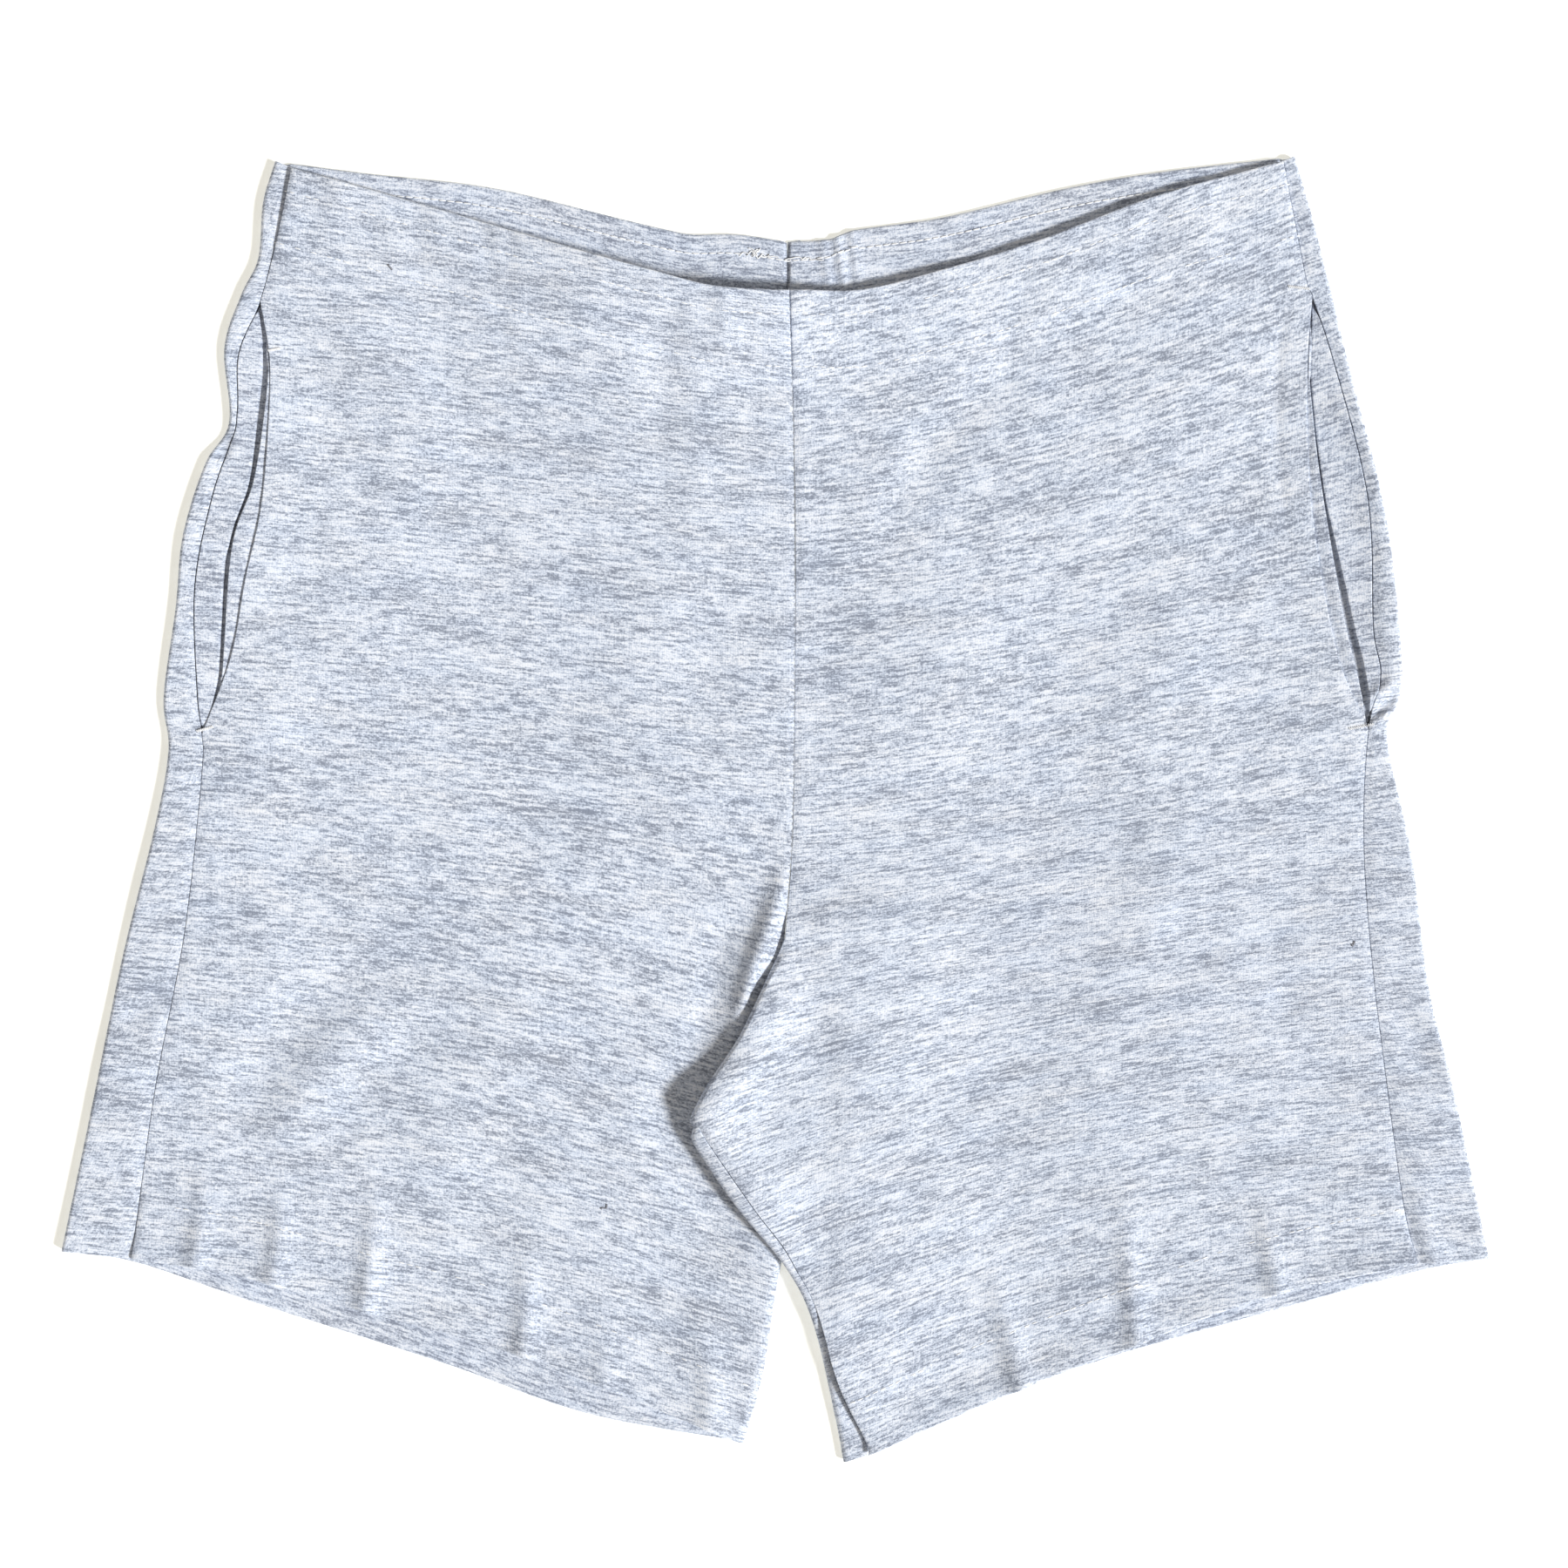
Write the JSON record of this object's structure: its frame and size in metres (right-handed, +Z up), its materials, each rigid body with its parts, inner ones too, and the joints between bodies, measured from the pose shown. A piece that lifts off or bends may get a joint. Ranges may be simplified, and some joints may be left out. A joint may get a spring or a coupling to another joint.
{
  "type": "cotton shorts",
  "caption": "Pull-on cotton jersey shorts laid flat, with a fold-over waist casing, side seam pockets and turned-up hems.",
  "frame": {"origin": "on the surface that the shorts lie on, under the middle of their box", "axes": "+Z up out of the front, +Y towards the waist, +X towards the right leg as seen from above"},
  "size_m": [0.5878, 0.538, 0.01],
  "materials": {
    "jersey": "matte heather jersey",
    "jersey_inside": "matte heather jersey, wrong side",
    "thread": "white sewing thread"
  },
  "bodies": {
    "root": {"back_left": "jersey", "back_right": "jersey", "front_left": "jersey", "front_right": "jersey", "casing_left": "jersey_inside", "casing_right": "jersey_inside", "hem_left": "jersey_inside", "hem_right": "jersey_inside", "pocket_back_left": "jersey_inside", "pocket_back_right": "jersey_inside", "pocket_front_left": "jersey_inside", "pocket_front_right": "jersey_inside"}
  },
  "joints": []
}
